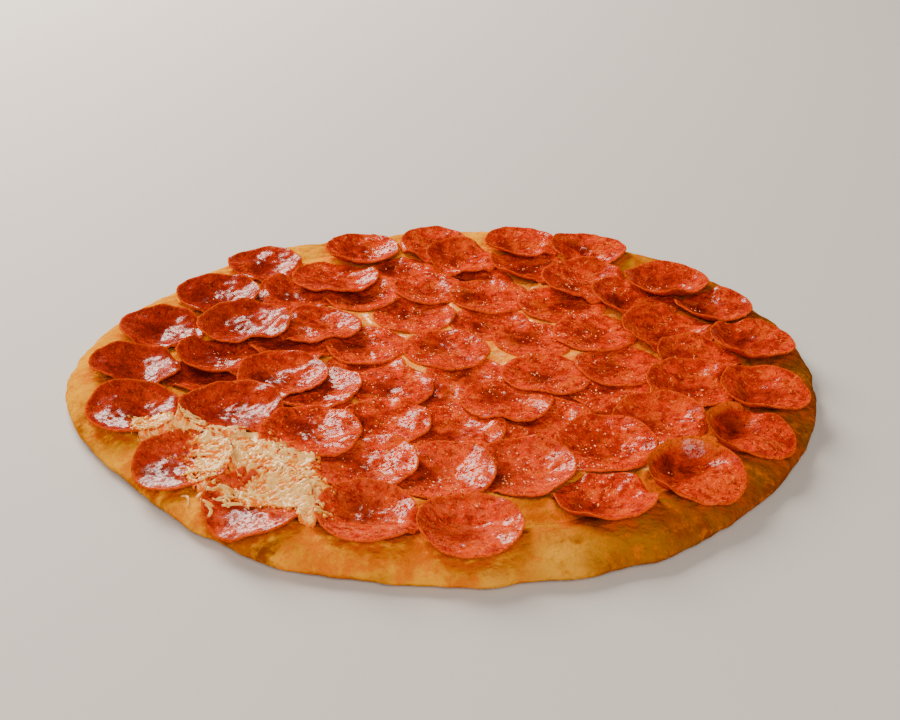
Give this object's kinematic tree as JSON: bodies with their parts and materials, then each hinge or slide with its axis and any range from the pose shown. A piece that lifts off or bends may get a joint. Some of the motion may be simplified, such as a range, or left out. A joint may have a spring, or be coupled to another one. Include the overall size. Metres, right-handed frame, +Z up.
{
  "type": "pepperoni pizza",
  "caption": "Whole round pizza, uncut, with a low puffy bread crust, melted cheese and curled overlapping pepperoni slices out to the rim.",
  "frame": {"origin": "centre of the bounding box's bottom, on the crust's flat underside", "axes": "+Z up through the pizza's thickness; -Y is the side nearest the viewer in the picture, +X its right"},
  "size_m": [0.3438, 0.3374, 0.0207],
  "materials": {
    "crust": "matt baked bread",
    "cheese": "satin, oily",
    "pepperoni": "gloss, oily"
  },
  "bodies": {
    "root": {"crust": "crust", "cheese": "cheese", "pepperoni_01": "pepperoni", "pepperoni_02": "pepperoni", "pepperoni_03": "pepperoni", "pepperoni_04": "pepperoni", "pepperoni_05": "pepperoni", "pepperoni_06": "pepperoni", "pepperoni_07": "pepperoni", "pepperoni_08": "pepperoni", "pepperoni_09": "pepperoni", "pepperoni_10": "pepperoni", "pepperoni_11": "pepperoni", "pepperoni_12": "pepperoni", "pepperoni_13": "pepperoni", "pepperoni_14": "pepperoni", "pepperoni_15": "pepperoni", "pepperoni_16": "pepperoni", "pepperoni_17": "pepperoni", "pepperoni_18": "pepperoni", "pepperoni_19": "pepperoni", "pepperoni_20": "pepperoni", "pepperoni_21": "pepperoni", "pepperoni_22": "pepperoni", "pepperoni_23": "pepperoni", "pepperoni_24": "pepperoni", "pepperoni_25": "pepperoni", "pepperoni_26": "pepperoni", "pepperoni_27": "pepperoni", "pepperoni_28": "pepperoni", "pepperoni_29": "pepperoni", "pepperoni_30": "pepperoni", "pepperoni_31": "pepperoni", "pepperoni_32": "pepperoni", "pepperoni_33": "pepperoni", "pepperoni_34": "pepperoni", "pepperoni_35": "pepperoni", "pepperoni_36": "pepperoni", "pepperoni_37": "pepperoni", "pepperoni_38": "pepperoni", "pepperoni_39": "pepperoni", "pepperoni_40": "pepperoni", "pepperoni_41": "pepperoni", "pepperoni_42": "pepperoni", "pepperoni_43": "pepperoni", "pepperoni_44": "pepperoni", "pepperoni_45": "pepperoni", "pepperoni_46": "pepperoni", "pepperoni_47": "pepperoni", "pepperoni_48": "pepperoni", "pepperoni_49": "pepperoni", "pepperoni_50": "pepperoni", "pepperoni_51": "pepperoni", "pepperoni_52": "pepperoni", "pepperoni_53": "pepperoni", "pepperoni_54": "pepperoni", "pepperoni_55": "pepperoni", "pepperoni_56": "pepperoni", "pepperoni_57": "pepperoni", "pepperoni_58": "pepperoni"}
  },
  "joints": []
}
